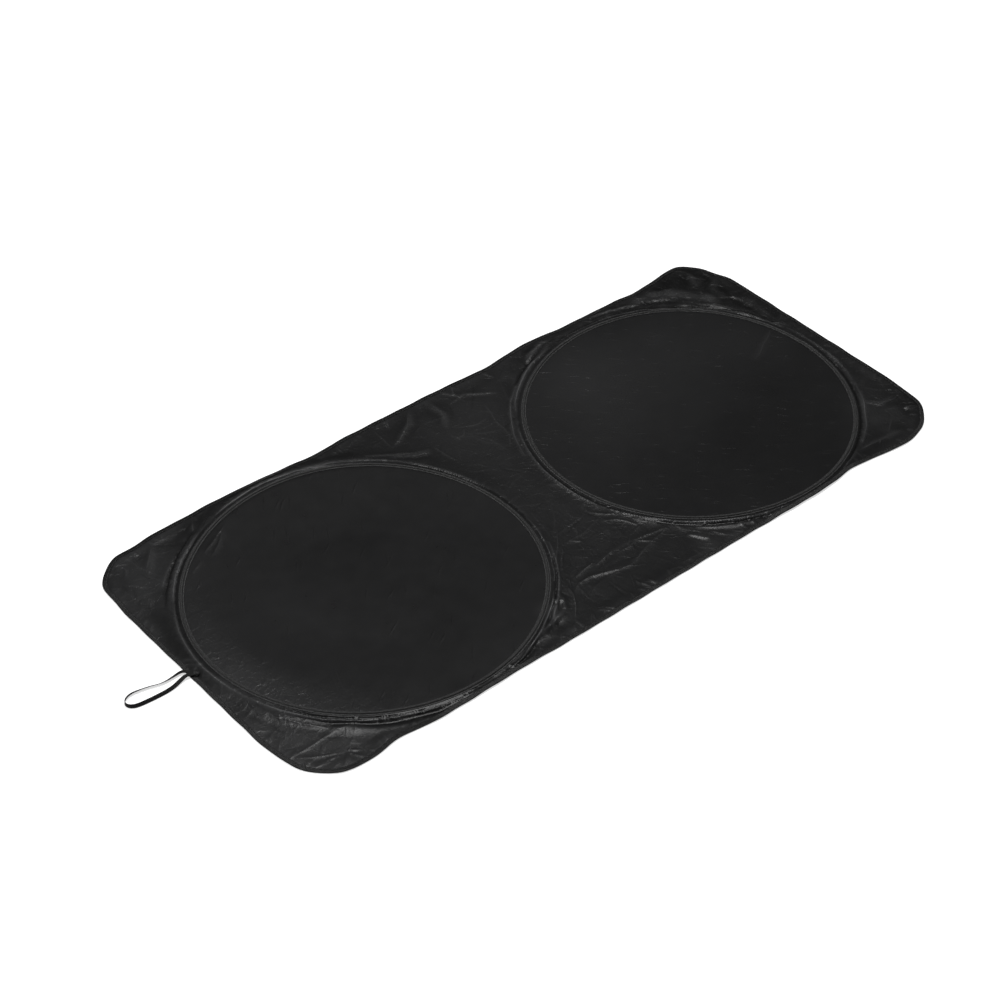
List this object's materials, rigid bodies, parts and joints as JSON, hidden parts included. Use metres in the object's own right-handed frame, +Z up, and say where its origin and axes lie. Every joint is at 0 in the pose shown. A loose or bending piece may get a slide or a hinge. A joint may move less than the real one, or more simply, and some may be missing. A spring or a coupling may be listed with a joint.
{
  "type": "windscreen sunshade",
  "caption": "Folding car windscreen sunshade lying open: black fabric panel held taut by sprung wire hoops sewn under tape, with a bound edge and an elastic carry loop.",
  "frame": {"origin": "under the middle of the bound panel, on the surface that it lies on", "axes": "+X along the shade's length, away from the carry loop; +Y across it; +Z up, out of the face with the hoops"},
  "size_m": [1.5743, 0.665, 0.0157],
  "materials": {
    "panel_fabric": "black coated polyester, slightly glossy",
    "binding_tape": "black woven tape",
    "hoop_tape": "black woven tape, stitched",
    "elastic": "black braided elastic",
    "spring_wire": "drawn spring steel",
    "ferrule": "crimped"
  },
  "bodies": {
    "root": {"fabric_panel": "panel_fabric", "edge_binding": "binding_tape", "carry_loop": "elastic", "right_hoop_tape": "hoop_tape", "right_hoop_wire": "spring_wire", "right_wire_ferrule": "ferrule", "left_hoop_tape": "hoop_tape", "left_hoop_wire": "spring_wire", "left_wire_ferrule": "ferrule"}
  },
  "joints": []
}
